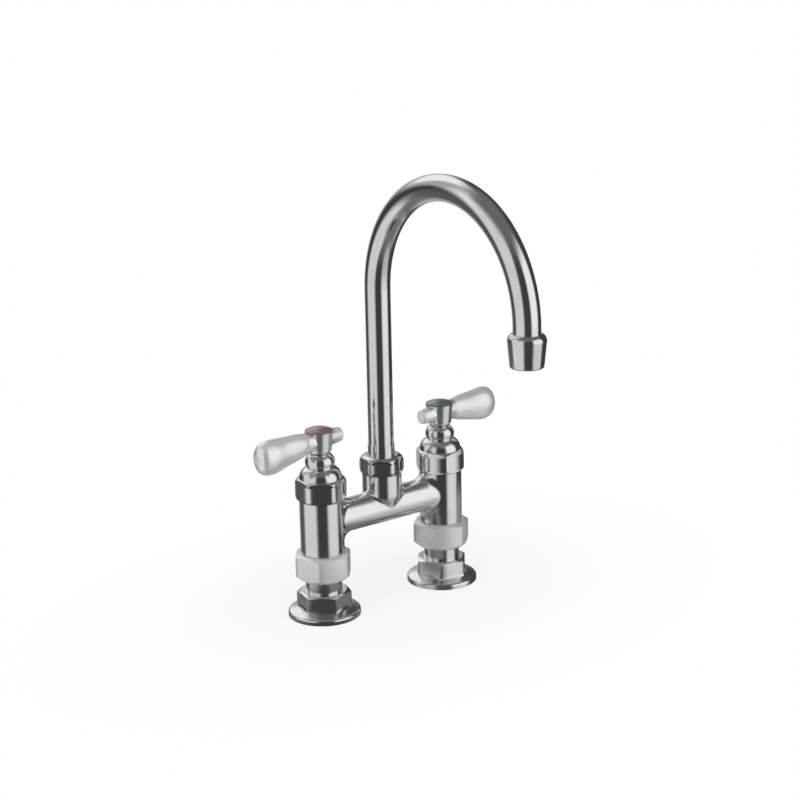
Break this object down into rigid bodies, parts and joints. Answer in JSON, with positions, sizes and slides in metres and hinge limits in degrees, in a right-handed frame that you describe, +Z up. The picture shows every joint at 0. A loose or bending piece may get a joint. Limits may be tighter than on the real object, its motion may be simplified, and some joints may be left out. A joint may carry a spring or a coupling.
{
  "type": "basin mixer tap",
  "caption": "Bridge mixer tap: lever-operated hot and cold valves on a horizontal arm, tall swivelling gooseneck spout between them, and flanged inlets below for a deck.",
  "frame": {"origin": "on the deck, midway between the two inlets, on the swivel axis of the spout", "axes": "+Z up along the swivel axis, -Y towards the outlet of the spout, -X to the hot valve and +X to the cold valve"},
  "size_m": [0.2075, 0.1894, 0.3037],
  "materials": {
    "polished_chrome": "mirror polished plating",
    "handle_chrome": "bright plating, softly reflecting",
    "satin_chrome": "satin plating",
    "brass": "machined",
    "ceramic": "lapped ceramic",
    "black_rubber": "moulded",
    "white_plastic": "moulded",
    "spring_steel": "plain",
    "hot_index": "gloss",
    "cold_index": "gloss"
  },
  "bodies": {
    "body": {"bridge_body": "polished_chrome", "spout_nut": "polished_chrome", "spout_glide_washer": "white_plastic", "hot_bonnet": "polished_chrome", "hot_cartridge_barrel": "brass", "hot_barrel_o_ring": "black_rubber", "hot_seat_seal": "black_rubber", "hot_fixed_disc": "ceramic", "hot_thrust_washer": "white_plastic", "hot_coupling_nut": "satin_chrome", "hot_snap_ring": "spring_steel", "hot_coupling_washer": "black_rubber", "hot_inlet_flange": "polished_chrome", "cold_bonnet": "polished_chrome", "cold_cartridge_barrel": "brass", "cold_barrel_o_ring": "black_rubber", "cold_seat_seal": "black_rubber", "cold_fixed_disc": "ceramic", "cold_thrust_washer": "white_plastic", "cold_coupling_nut": "satin_chrome", "cold_snap_ring": "spring_steel", "cold_coupling_washer": "black_rubber", "cold_inlet_flange": "polished_chrome"},
    "hot_handle": {"hot_lever_handle": "handle_chrome", "hot_handle_screw": "spring_steel", "hot_index_cap": "hot_index", "hot_stem": "brass", "hot_stem_o_rings": "black_rubber", "hot_stem_clip": "spring_steel", "hot_moving_disc": "ceramic"},
    "cold_handle": {"cold_lever_handle": "handle_chrome", "cold_handle_screw": "spring_steel", "cold_index_cap": "cold_index", "cold_stem": "brass", "cold_stem_o_rings": "black_rubber", "cold_stem_clip": "spring_steel", "cold_moving_disc": "ceramic"},
    "spout": {"gooseneck": "polished_chrome", "spout_ferrule": "polished_chrome", "spout_o_rings": "black_rubber", "outlet_housing": "polished_chrome", "outlet_washer": "black_rubber", "outlet_shell": "brass", "flow_straightener": "white_plastic"}
  },
  "joints": [
    {"name": "hot_valve", "type": "hinge", "parent": "body", "child": "hot_handle", "pos_m": [-0.0508, 0, 0.12], "axis": [0, 0, 1], "range_deg": [0, 90]},
    {"name": "cold_valve", "type": "hinge", "parent": "body", "child": "cold_handle", "pos_m": [0.0508, 0, 0.12], "axis": [0, 0, 1], "range_deg": [-90, 0]},
    {"name": "spout_swivel", "type": "hinge", "parent": "body", "child": "spout", "pos_m": [0, 0, 0.1], "axis": [0, 0, 1], "continuous": true}
  ]
}
